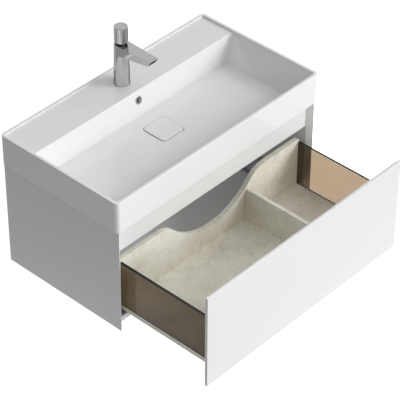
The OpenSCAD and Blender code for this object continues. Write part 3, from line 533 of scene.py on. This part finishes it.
def stone_board():
    """Concrete look: broad clouds, smaller blotches, a fine sandy grain and dark pores."""
    look, tree, shader, place = surface("stone_board")
    broad = cloud(tree, place, scale=4.5, detail=6.0, roughness=0.58, distortion=0.5)
    blotch = cloud(tree, place, scale=24.0, detail=8.0, roughness=0.66, distortion=0.8)
    sand = cloud(tree, place, scale=150.0, detail=6.0, roughness=0.72)
    pores = between(tree, cells(tree, place, scale=210.0), 1.0, 0.0, start=0.04, stop=0.22)
    colour = shade_ramp(tree, broad, [
        (0.30, (0.62, 0.58, 0.475)), (0.45, (0.81, 0.78, 0.68)),
        (0.57, (0.89, 0.865, 0.77)), (0.72, (0.93, 0.915, 0.84))])
    for grain, low, high, start, stop, over in (
            (blotch, 0.0, 0.42, 0.52, 0.70, (0.52, 0.475, 0.37)),
            (blotch, 0.35, 0.0, 0.34, 0.46, (0.88, 0.87, 0.81)),
            (sand, 0.0, 0.45, 0.52, 0.72, (0.42, 0.375, 0.29)),
            (sand, 0.30, 0.0, 0.30, 0.46, (0.90, 0.89, 0.83))):
        colour = blend_colour(tree, between(tree, grain, low, high, start, stop), colour, over)
    pits = relief(tree, pores, strength=0.3, distance=0.0002)
    dress(tree, shader, tinge(tree, pores, 0.5, colour, (0.38, 0.34, 0.27)),
          between(tree, sand, 0.50, 0.70),
          relief(tree, sand, strength=0.25, distance=0.0002, before=pits))
    shader.inputs["Specular IOR Level"].default_value = 0.35
    return look


def bronze_glass():
    """Clear bronze-tinted glass with faint smudges."""
    look, tree, shader, place = surface("bronze_glass")
    drift = cloud(tree, place, scale=6.0, detail=3.0)
    smudge = cloud(tree, place, scale=16.0, detail=5.0, roughness=0.6)
    swell = cloud(tree, place, scale=9.0, detail=1.0)
    dress(tree, shader, blend_colour(tree, drift, (0.203, 0.154, 0.104), (0.219, 0.168, 0.114)),
          between(tree, smudge, 0.0, 0.025, start=0.45, stop=0.8),
          relief(tree, swell, strength=0.02, distance=0.0002))
    shader.inputs["IOR"].default_value = 1.45
    shader.inputs["Transmission Weight"].default_value = 1.0
    return look


def polished_chrome():
    """Bright chrome with faint wipe marks; the tint keeps its grazing edges dark."""
    look, tree, shader, place = surface("polished_chrome")
    drift = cloud(tree, place, scale=30.0, detail=3.0)
    wiped = stretched(tree, place, (1.0, 1.0, 0.2))
    wipe = cloud(tree, wiped, scale=160.0, detail=6.0, roughness=0.65)
    swell = cloud(tree, place, scale=45.0, detail=2.0)
    dress(tree, shader, blend_colour(tree, drift, (0.67, 0.675, 0.685), (0.71, 0.71, 0.715)),
          between(tree, wipe, 0.02, 0.05),
          relief(tree, swell, strength=0.03, distance=0.0001))
    shader.inputs["Metallic"].default_value = 1.0
    shader.inputs["Specular Tint"].default_value = (0.04, 0.04, 0.045, 1)
    return look


def turned_brass():
    """Brass with turning rings and brown stains."""
    look, tree, shader, place = surface("turned_brass")
    rings = cloud(tree, stretched(tree, place, (1.0, 1.0, 40.0)), scale=60.0, detail=4.0)
    brass = blend_colour(tree, rings, (0.72, 0.54, 0.27), (0.82, 0.66, 0.38))
    patches = cloud(tree, place, scale=90.0, detail=5.0)
    stain = between(tree, patches, 0.0, 0.5, start=0.5, stop=0.7)
    dress(tree, shader, blend_colour(tree, stain, brass, (0.45, 0.30, 0.15)),
          between(tree, rings, 0.22, 0.38),
          relief(tree, rings, strength=0.2, distance=0.00008))
    shader.inputs["Metallic"].default_value = 1.0
    return look


def zinc_steel():
    """Zinc-plated steel with small spangles, rolling marks and grime."""
    look, tree, shader, place = surface("zinc_steel")
    spangle = between(tree, cells(tree, place, scale=160.0), 0.0, 1.0, start=0.1, stop=0.7)
    zinc = blend_colour(tree, spangle, (0.54, 0.55, 0.57), (0.68, 0.69, 0.70))
    patches = cloud(tree, place, scale=40.0, detail=6.0, roughness=0.7)
    grime = between(tree, patches, 0.0, 0.5, start=0.55, stop=0.75)
    rolled = cloud(tree, stretched(tree, place, (1.0, 0.04, 1.0)), scale=500.0, detail=3.0)
    dress(tree, shader, blend_colour(tree, grime, zinc, (0.36, 0.35, 0.34)),
          between(tree, rolled, 0.28, 0.44),
          relief(tree, rolled, strength=0.12, distance=0.00006))
    shader.inputs["Metallic"].default_value = 1.0
    return look


def moulded_plastic(name, dark, light, rough):
    """Moulded plastic or rubber with a fine grain and slightly paler worn edges."""
    look, tree, shader, place = surface(name)
    drift = cloud(tree, place, scale=25.0, detail=4.0)
    paler = tuple(min(1.0, c * 1.25 + 0.02) for c in light)
    grain = cloud(tree, place, scale=900.0, detail=3.0)
    plain = blend_colour(tree, drift, dark, light)
    dress(tree, shader, tinge(tree, wear_and_highlight_edges(tree), 0.4, plain, paler),
          between(tree, grain, rough - 0.06, rough + 0.08),
          relief(tree, grain, strength=0.25, distance=0.00006))
    return look


def raw_beech():
    """Unfinished beech with a long grain along X and short dark flecks."""
    look, tree, shader, place = surface("raw_beech")
    along = stretched(tree, place, (1.0, 0.12, 0.12))
    grain = cloud(tree, along, scale=380.0, detail=6.0, roughness=0.6)
    wood = blend_colour(tree, grain, (0.60, 0.41, 0.24), (0.76, 0.57, 0.37))
    spots = cells(tree, stretched(tree, place, (1.0, 0.3, 0.3)), scale=900.0)
    flecks = between(tree, spots, 0.5, 0.0, start=0.05, stop=0.2)
    dress(tree, shader, blend_colour(tree, flecks, wood, (0.42, 0.26, 0.14)),
          between(tree, grain, 0.55, 0.75),
          relief(tree, grain, strength=0.3, distance=0.0001))
    return look


def enamel_dot(name, deep, bright):
    """Glossy enamel of the hot and the cold mark."""
    look, tree, shader, place = surface(name)
    dress(tree, shader,
          blend_colour(tree, cloud(tree, place, scale=700.0, detail=3.0), deep, bright),
          between(tree, cloud(tree, place, scale=300.0, detail=3.0), 0.15, 0.28))
    shader.inputs["Coat Weight"].default_value = 0.5
    return look


def make_looks():
    """One finish for each material slot of the record."""
    finishes = {
        "ceramic": glazed_ceramic(),
        "chrome": polished_chrome(),
        "brass": turned_brass(),
        "white_board": white_lacquer(),
        "stone_board": stone_board(),
        "beech": raw_beech(),
        "steel": zinc_steel(),
        "bronze_glass": bronze_glass(),
    }
    for name, dark, light, rough in (
            ("rubber", (0.020, 0.020, 0.021), (0.032, 0.032, 0.033), 0.7),
            ("black_plastic", (0.006, 0.006, 0.007), (0.011, 0.011, 0.012), 0.55),
            ("grey_plastic", (0.30, 0.30, 0.31), (0.38, 0.38, 0.39), 0.42),
            ("orange_plastic", (0.66, 0.20, 0.03), (0.76, 0.26, 0.05), 0.40)):
        finishes[name] = moulded_plastic(name, dark, light, rough)
    for name, deep, bright in (
            ("red_dot", (0.50, 0.02, 0.02), (0.65, 0.04, 0.04)),
            ("blue_dot", (0.02, 0.03, 0.45), (0.04, 0.06, 0.60))):
        finishes[name] = enamel_dot(name, deep, bright)
    return finishes


# ---------------------------------------------------------------- basin

def rounded_block(name, low, high, radius, segments=8):
    """A block with rounded upright edges."""
    piece = add_block(name, low, high)
    round_edges(piece, upright, radius, segments)
    return piece


def square_on_drain(half, low, high):
    """Corners of a square block over the middle of the drain, between two heights."""
    return (-half, DRAIN_Y - half, low), (half, DRAIN_Y + half, high)


def basin_slab():
    """The slab before it is hollowed out, with all its outer edges rounded."""
    slab = rounded_block("ceramic_basin", BASIN_LOW, BASIN_HIGH, SLAB_CORNER, 10)
    top, under = at_height(BASIN_HIGH[2]), at_height(BASIN_LOW[2])
    round_edges(slab, lambda a, b: top(a, b) or under(a, b), OUTER_ROUND, 4)
    return slab


def leaning_bowl(half_x, front, lip):
    """The open space between the bowl's leaning walls, carried straight up to the lip."""
    space = add_block("basin_space", (-half_x, front, FOOT), (half_x, DECK_FRONT, DECK))
    pick_faces(edit(space, "FACE"), lambda at, n: n.z < -0.9)
    bpy.ops.transform.resize(value=((half_x - SIDE_RUN) / half_x, 1, 1))
    leave()
    move_edges(space, along_x(front, FOOT), (0, FRONT_RUN, 0))
    move_edges(space, along_x(DECK_FRONT, FOOT), (0, -BACK_RUN, 0))
    pick_faces(edit(space, "FACE"), lambda at, n: n.z > 0.9)
    raise_picked(lip - DECK)
    leave()
    return space


def round_bowl(space):
    """Rounds the bowl's corners and foot, and draws its floor down to the drain."""
    round_edges(space, upright, BOWL_CORNER, 8)
    round_edges(space, at_height(FOOT), FOOT_ROUND, 5)
    pick_faces(edit(space, "FACE"), lambda at, n: n.z < -0.9 and near(at.z, FOOT))
    bpy.ops.mesh.poke()
    bpy.ops.mesh.select_mode(type="VERT")
    bpy.ops.mesh.select_all(action="DESELECT")
    mesh = bmesh.from_edit_mesh(space.data)
    middle = Vector((0, FLOOR_MIDDLE, FOOT))
    hub = min(mesh.verts, key=lambda v: (v.co - middle).length)
    hub.select_set(True)
    mesh.select_flush_mode()
    bpy.ops.transform.translate(value=(-hub.co.x, DRAIN_Y - hub.co.y, -DRAIN_FALL))
    leave()
    fix_order(space)


def flare_lip(space, steps=6):
    """Carries the top face of the bowl space outwards over the rim in a quarter round."""
    half_x = BASIN_HIGH[0] - RIM_WIDTH
    front, back = BASIN_LOW[1] + RIM_WIDTH, BASIN_HIGH[1] - RIM_WIDTH
    middle = (front + back) / 2
    pick_faces(edit(space, "FACE"), lambda at, n: n.z > 0.9 and near(at.z, RIM - RIM_ROUND))
    out = rise = 0.0
    for step in range(1, steps + 1):
        turn = math.radians(90 * step / steps)
        next_out, next_rise = RIM_ROUND * (1 - math.cos(turn)), RIM_ROUND * math.sin(turn)
        grow_x = (half_x + next_out) / (half_x + out)
        grow_y = (back - front + 2 * next_out) / (back - front + 2 * out)
        raise_picked(next_rise - rise)
        bpy.ops.transform.resize(value=(grow_x, grow_y, 1), center_override=(0, middle, 0))
        out, rise = next_out, next_rise
    raise_picked(LIFT)
    leave()
    fix_order(space)


def bowl_cutter():
    """The open space over the bowl and the tap deck, with the band inside the rim, as one solid."""
    half_x = BASIN_HIGH[0] - RIM_WIDTH
    lip = RIM - RIM_ROUND
    space = leaning_bowl(half_x, BASIN_LOW[1] + RIM_WIDTH, lip)
    round_bowl(space)
    weld(space, add_block("deck_space", (-half_x, DECK_FRONT - DECK_OVERLAP, DECK),
                          (half_x, -RIM_WIDTH, lip)))
    tidy_mesh(space, CERAMIC_FLAT)

    def on_brink(p):
        return near(p.z, DECK) and DECK_FRONT - BRINK_REACH < p.y < DECK_FRONT + NEAR

    round_edges(space, lambda a, b: on_brink(a) and on_brink(b), BRINK_ROUND, 4)
    flare_lip(space)
    return space


def overflow_cutter():
    """The round overflow hole, square to the bowl's leaning back wall."""
    slope = BACK_RUN / (DECK - FOOT)
    hole = add_round("overflow_hole", OVERFLOW_RADIUS, (0, 0, -0.006), 0.020)
    return tilt_into_place(hole, -math.pi / 2 - math.atan(slope),
                           (0, DECK_FRONT - slope * (DECK - OVERFLOW_Z), OVERFLOW_Z))


def round_pocket_edge(basin):
    """Softens the edge where the bowl's floor drops into the drain pocket."""
    def on_edge(p):
        reach = max(abs(p.x), abs(p.y - DRAIN_Y))
        return WASTE_CLEAR < reach < POCKET_HALF + NEAR and POCKET_EDGE_LOW < p.z < FOOT

    round_edges(basin, lambda a, b: on_edge(a) and on_edge(b) and abs(a.z - b.z) < 0.002,
                POCKET_ROUND, 3)


def build_washbasin():
    """Ceramic basin: rounded slab, sunk deck, sloping bowl, drain pocket and the hollow behind."""
    basin = basin_slab()
    cut(basin, add_block("hollow", *HOLLOW))
    weld(basin, add_block("channel_rib", *CHANNEL_RIB))
    weld(basin, rounded_block("boss", *square_on_drain(BOSS_HALF, BOSS_FOOT, BOSS_TOP),
                              BOSS_CORNER))
    cut(basin, bowl_cutter())
    cut(basin, rounded_block("pocket", *square_on_drain(POCKET_HALF, POCKET_FOOT, POCKET_TOP),
                             POCKET_CORNER))
    cut(basin, add_block("channel_down", *CHANNEL_DOWN))
    cut(basin, add_block("channel_up", *CHANNEL_UP))
    cut(basin, add_round("waste_hole", WASTE_RADIUS, (0, DRAIN_Y, 0.02), 0.05))
    cut(basin, add_round("tap_hole", TAP_HOLE_RADIUS, (0, TAP_Y, 0.11), 0.05))
    cut(basin, overflow_cutter())
    for side in (-1, 1):
        cut(basin, add_round("wall_bolt_hole", BOLT_RADIUS, (side * BOLT_X, 0.01, BOLT_Z), 0.025,
                             sides=32, turn=math.pi / 2))
    tidy_mesh(basin, CERAMIC_FLAT)
    round_pocket_edge(basin)
    smooth(basin)
    settle(basin, "washbasin", "ceramic")


def build_drain_cover():
    """Square ceramic cover with soft edges."""
    cover = rounded_block("ceramic_drain_cover",
                          *square_on_drain(COVER_HALF, COVER_FOOT, COVER_TOP), COVER_CORNER)
    ease(cover, COVER_EASE, segments=4)
    settle(cover, "drain_cover", "ceramic")


# ---------------------------------------------------------------- tap

def tap_column():
    """Slightly conical column of the tap."""
    deselect()
    height = SPOUT_TOP - TAP_FOOT
    bpy.ops.mesh.primitive_cone_add(
        vertices=160, radius1=COLUMN_FOOT_RADIUS, radius2=COLUMN_TOP_RADIUS, depth=height,
        location=(0, TAP_Y, TAP_FOOT + height / 2))
    return name_primitive("tap_column")


def tap_spout(tip_y):
    """Wedge spout: narrower towards the tip, deeper towards the column, with a slanted tip."""
    under = SPOUT_TOP - TIP_HEIGHT
    spout = add_block("tap_spout", (-COLUMN_TOP_RADIUS, tip_y, under),
                      (COLUMN_TOP_RADIUS, TAP_Y, SPOUT_TOP))
    pick_faces(edit(spout, "FACE"), lambda at, n: n.y < -0.9)
    bpy.ops.transform.resize(value=(TIP_HALF / COLUMN_TOP_RADIUS, 1, 1))
    bpy.ops.mesh.select_all(action="SELECT")
    bpy.ops.mesh.bisect(plane_co=(0, 0, SPOUT_TOP - TIP_EDGE), plane_no=(0, 0, 1))
    leave()
    move_edges(spout, along_x(TAP_Y, under), (0, 0, -SPOUT_HEEL))
    move_edges(spout, along_x(tip_y, under), (0, TIP_SLANT, 0))
    return spout


def aerator_cutter(tip_y):
    """The round seat of the aerator, square to the spout's slanted tip."""
    lean = math.atan(TIP_SLANT / (TIP_HEIGHT - TIP_EDGE))
    seat = add_round("aerator_seat", AERATOR_RADIUS, (0, 0, -0.002), 0.0055)
    return tilt_into_place(
        seat, lean - math.pi / 2,
        (0, tip_y + TIP_SLANT / 2, SPOUT_TOP - (TIP_HEIGHT + TIP_EDGE) / 2))


def build_tap_body():
    """Column and spout in one, bored for the cartridge, the water and the aerator."""
    tip_y = TAP_Y - SPOUT_REACH
    body = tap_column()
    weld(body, tap_spout(tip_y))
    cut(body, add_round("cartridge_seat", CARTRIDGE_RADIUS, (0, TAP_Y, CARTRIDGE_SEAT_Z), 0.04))
    cut(body, add_round("tap_bore", BORE_RADIUS, (0, TAP_Y, 0.13), 0.13))
    cut(body, aerator_cutter(tip_y))
    ease(body, TAP_EASE, segments=3, angle=28)
    settle(body, "tap_body", "chrome")


# ---------------------------------------------------------------- knob, case and drawer

def build_eased_nodes():
    """The knob, boards and panes keep their CAD outline and get eased edges."""
    for node, name, slot, width in (
            ("tap_knob", "chrome_knob", "chrome", KNOB_EASE),
            ("side_panel_left", "left_side_board", "white_board", BOARD_EASE),
            ("side_panel_right", "right_side_board", "white_board", BOARD_EASE),
            ("front_rail", "front_rail_board", "white_board", BOARD_EASE),
            ("rear_rail", "rear_rail_board", "white_board", BOARD_EASE),
            ("lower_rail", "lower_rail_board", "white_board", BOARD_EASE),
            ("bottom_panel", "bottom_board", "white_board", BOARD_EASE),
            ("drawer_front", "drawer_front_board", "white_board", FRONT_EASE),
            ("drawer_base", "drawer_base_board", "stone_board", STONE_EASE),
            ("drawer_back", "drawer_back_board", "stone_board", STONE_BACK_EASE),
            ("drawer_divider", "drawer_divider_board", "stone_board", STONE_EASE),
            ("glass_left", "left_glass_pane", "bronze_glass", BOARD_EASE),
            ("glass_right", "right_glass_pane", "bronze_glass", BOARD_EASE)):
        settle(eased_copy(node, name, width), node, slot)


# ---------------------------------------------------------------- set

def floor_patch(tree, place, middle, half, sharpness, turn=0.0):
    """1 on the rim of a rounded rectangle on the floor, less inside and more outside."""
    turned = tree.nodes.new("ShaderNodeMapping")
    turned.vector_type = "TEXTURE"
    turned.inputs["Location"].default_value = middle
    turned.inputs["Rotation"].default_value = (0, 0, math.radians(turn))
    turned.inputs["Scale"].default_value = (*half, 1.0)
    tree.links.new(place, turned.inputs["Vector"])
    split = tree.nodes.new("ShaderNodeSeparateXYZ")
    tree.links.new(turned.outputs["Vector"], split.inputs["Vector"])
    across, along = (
        worked_out(tree, "POWER", worked_out(tree, "ABSOLUTE", split.outputs[axis]), sharpness)
        for axis in ("X", "Y"))
    return worked_out(tree, "POWER", worked_out(tree, "ADD", across, along), 1 / sharpness)


def build_floor():
    """Pale studio floor whose glow is painted light: a bright pool, painted dimness to the left and
    far in front, and a painted shine on the right.
    """
    deselect()
    bpy.ops.mesh.primitive_plane_add(size=FLOOR_SIZE, location=(0, 0, FLOOR))
    floor = bpy.context.object
    floor.name = "studio_floor"
    look, tree, shader, place = surface("pale_floor")
    shader.inputs["Base Color"].default_value = (0.15, 0.15, 0.15, 1)
    shader.inputs["Roughness"].default_value = 0.9
    shader.inputs["Specular IOR Level"].default_value = 0.0
    shader.inputs["Emission Color"].default_value = WHITE
    # painted light: the floor glows brightest in a pool and is painted dimmer outside it
    pool = floor_patch(tree, place, POOL_CENTRE, POOL_HALF, 5.0, POOL_TURN)
    pool = between(tree, pool, FLOOR_BRIGHT, FLOOR_DIM, start=1.03, stop=1.38)
    # painted shine: a brighter glowing patch on the right
    shine = floor_patch(tree, place, SHINE_CENTRE, SHINE_HALF, 2.0)
    shine = between(tree, shine, 1.35, 0.0, start=0.6, stop=1.6)
    # painted dimness of the glow to the left and far in front
    split = tree.nodes.new("ShaderNodeSeparateXYZ")
    tree.links.new(place, split.inputs["Vector"])
    right, near_by = (
        between(tree, split.outputs[axis], FLOOR_DIM, FLOOR_BRIGHT, start, stop)
        for axis, start, stop in (("X", -0.85, -0.38), ("Y", -1.7, -0.8)))
    around = worked_out(tree, "MINIMUM", right, near_by)
    glow = worked_out(tree, "ADD", worked_out(tree, "MAXIMUM", pool, around), shine)
    tree.links.new(glow, shader.inputs["Emission Strength"])
    floor.data.materials.append(look)


def add_light(name, towards, distance, size, power):
    """A square soft light that faces the object from one direction and isn't mirrored in gloss."""
    direction = Vector(towards).normalized()
    lamp = bpy.data.lights.new(name, "AREA")
    lamp.shape = "SQUARE"
    lamp.size = size
    lamp.energy = power
    holder = bpy.data.objects.new(name, lamp)
    holder.location = Vector(LIGHTS_AIM) + direction * distance
    holder.rotation_euler = direction.to_track_quat("Z", "Y").to_euler()
    holder.visible_glossy = False
    bpy.context.scene.collection.objects.link(holder)
    return holder


def build_lights():
    """A key light from the front right, a fill and a small light that shines into the drawer."""
    add_light("key_light", (0.59, -0.69, 0.42), distance=8.0, size=4.2, power=415)
    add_light("front_fill", (-0.15, -0.95, 0.22), distance=6.0, size=3.0, power=80)
    above = add_light("drawer_light", (-0.32, -0.62, 0.60), distance=0.92, size=0.5, power=1.2)
    above.rotation_euler = (0, 0, 0)  # straight down


def build_sky():
    """A white sky that is brightest at the upper right, behind the object."""
    world = bpy.data.worlds.new("studio")
    world.use_nodes = True
    tree = world.node_tree
    sky = tree.nodes["Background"]
    direction = tree.nodes.new("ShaderNodeTexCoord").outputs["Generated"]
    facing = tree.nodes.new("ShaderNodeVectorMath")
    facing.operation = "DOT_PRODUCT"
    facing.inputs[1].default_value = SKY_BRIGHT_SIDE
    tree.links.new(direction, facing.inputs[0])
    strength = between(tree, facing.outputs["Value"], 0.12, 0.67, start=-0.45, stop=0.95)
    tree.links.new(strength, sky.inputs["Strength"])
    sky.inputs["Color"].default_value = WHITE
    bpy.context.scene.world = world


def build_camera():
    """The photograph's own view: from the left front, 39 degrees down."""
    turn, rise, roll = (math.radians(a) for a in (CAMERA_TURN, CAMERA_RISE, CAMERA_ROLL))
    back = Vector((math.sin(turn) * math.cos(rise), -math.cos(turn) * math.cos(rise),
                   math.sin(rise)))
    right = (-back).cross(Vector((0, 0, 1))).normalized()
    up = right.cross(-back)
    x = right * math.cos(roll) + up * math.sin(roll)
    y = up * math.cos(roll) - right * math.sin(roll)
    lens = bpy.data.cameras.new("photo_camera")
    lens.lens = CAMERA_LENS
    lens.sensor_width = CAMERA_SENSOR
    lens.clip_end = CAMERA_FAR
    camera = bpy.data.objects.new("photo_camera", lens)
    camera.matrix_world = Matrix((*zip(x, y, back, CAMERA_PLACE), (0, 0, 0, 1)))
    bpy.context.scene.collection.objects.link(camera)
    bpy.context.scene.camera = camera


# ---------------------------------------------------------------- build

body_of_node = {node: item.parent.name.split(":")[1] for node, item in frame["nodes"].items()}
deselect()
bpy.context.scene.view_settings.view_transform = "Standard"

looks = make_looks()
for part in frame["record"]["subparts"]:
    item = frame["nodes"][part["node"]]
    item.data.materials.clear()
    item.data.materials.append(looks[part["material_slot"]])

build_washbasin()
build_drain_cover()
build_tap_body()
build_eased_nodes()
build_floor()
build_lights()
build_sky()
build_camera()
